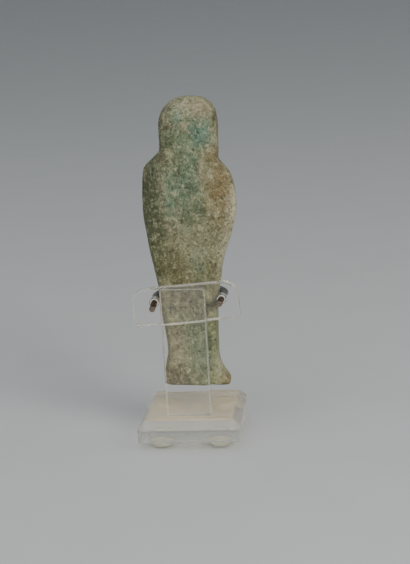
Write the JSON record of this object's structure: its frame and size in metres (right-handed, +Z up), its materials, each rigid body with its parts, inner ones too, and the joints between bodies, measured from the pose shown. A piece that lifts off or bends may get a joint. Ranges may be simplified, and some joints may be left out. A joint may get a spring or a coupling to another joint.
{
  "type": "ushabti figurine",
  "caption": "Worn flat-backed faience mummy figurine with crossed arms and a long wig, held upright by hooked pins on a small clear acrylic stand.",
  "frame": {"origin": "on the table, under the middle of the whole object's box", "axes": "+Z up along the figurine; the figurine faces -Y, so its own left is +X, and its flat back, the upright and the pins' tails are towards +Y"},
  "size_m": [0.0332, 0.0318, 0.1079],
  "materials": {
    "faience": "worn pale green glazed faience, mottled, with brown stains, cream wear and turquoise remains",
    "acrylic": "clear polished acrylic sheet with bright cut edges",
    "pin_metal": "tarnished brown brass rod, cut ends",
    "sleeve": "cloudy translucent soft tubing",
    "dome_foot": "clear soft polyurethane, slightly yellowed"
  },
  "bodies": {
    "root": {"ushabti": "faience", "stand_base": "acrylic", "stand_upright": "acrylic", "stand_crossbar": "acrylic", "pin_left": "pin_metal", "pin_right": "pin_metal", "sleeve_left": "sleeve", "sleeve_right": "sleeve", "foot_back_left": "dome_foot", "foot_back_right": "dome_foot", "foot_front_left": "dome_foot", "foot_front_right": "dome_foot"}
  },
  "joints": []
}
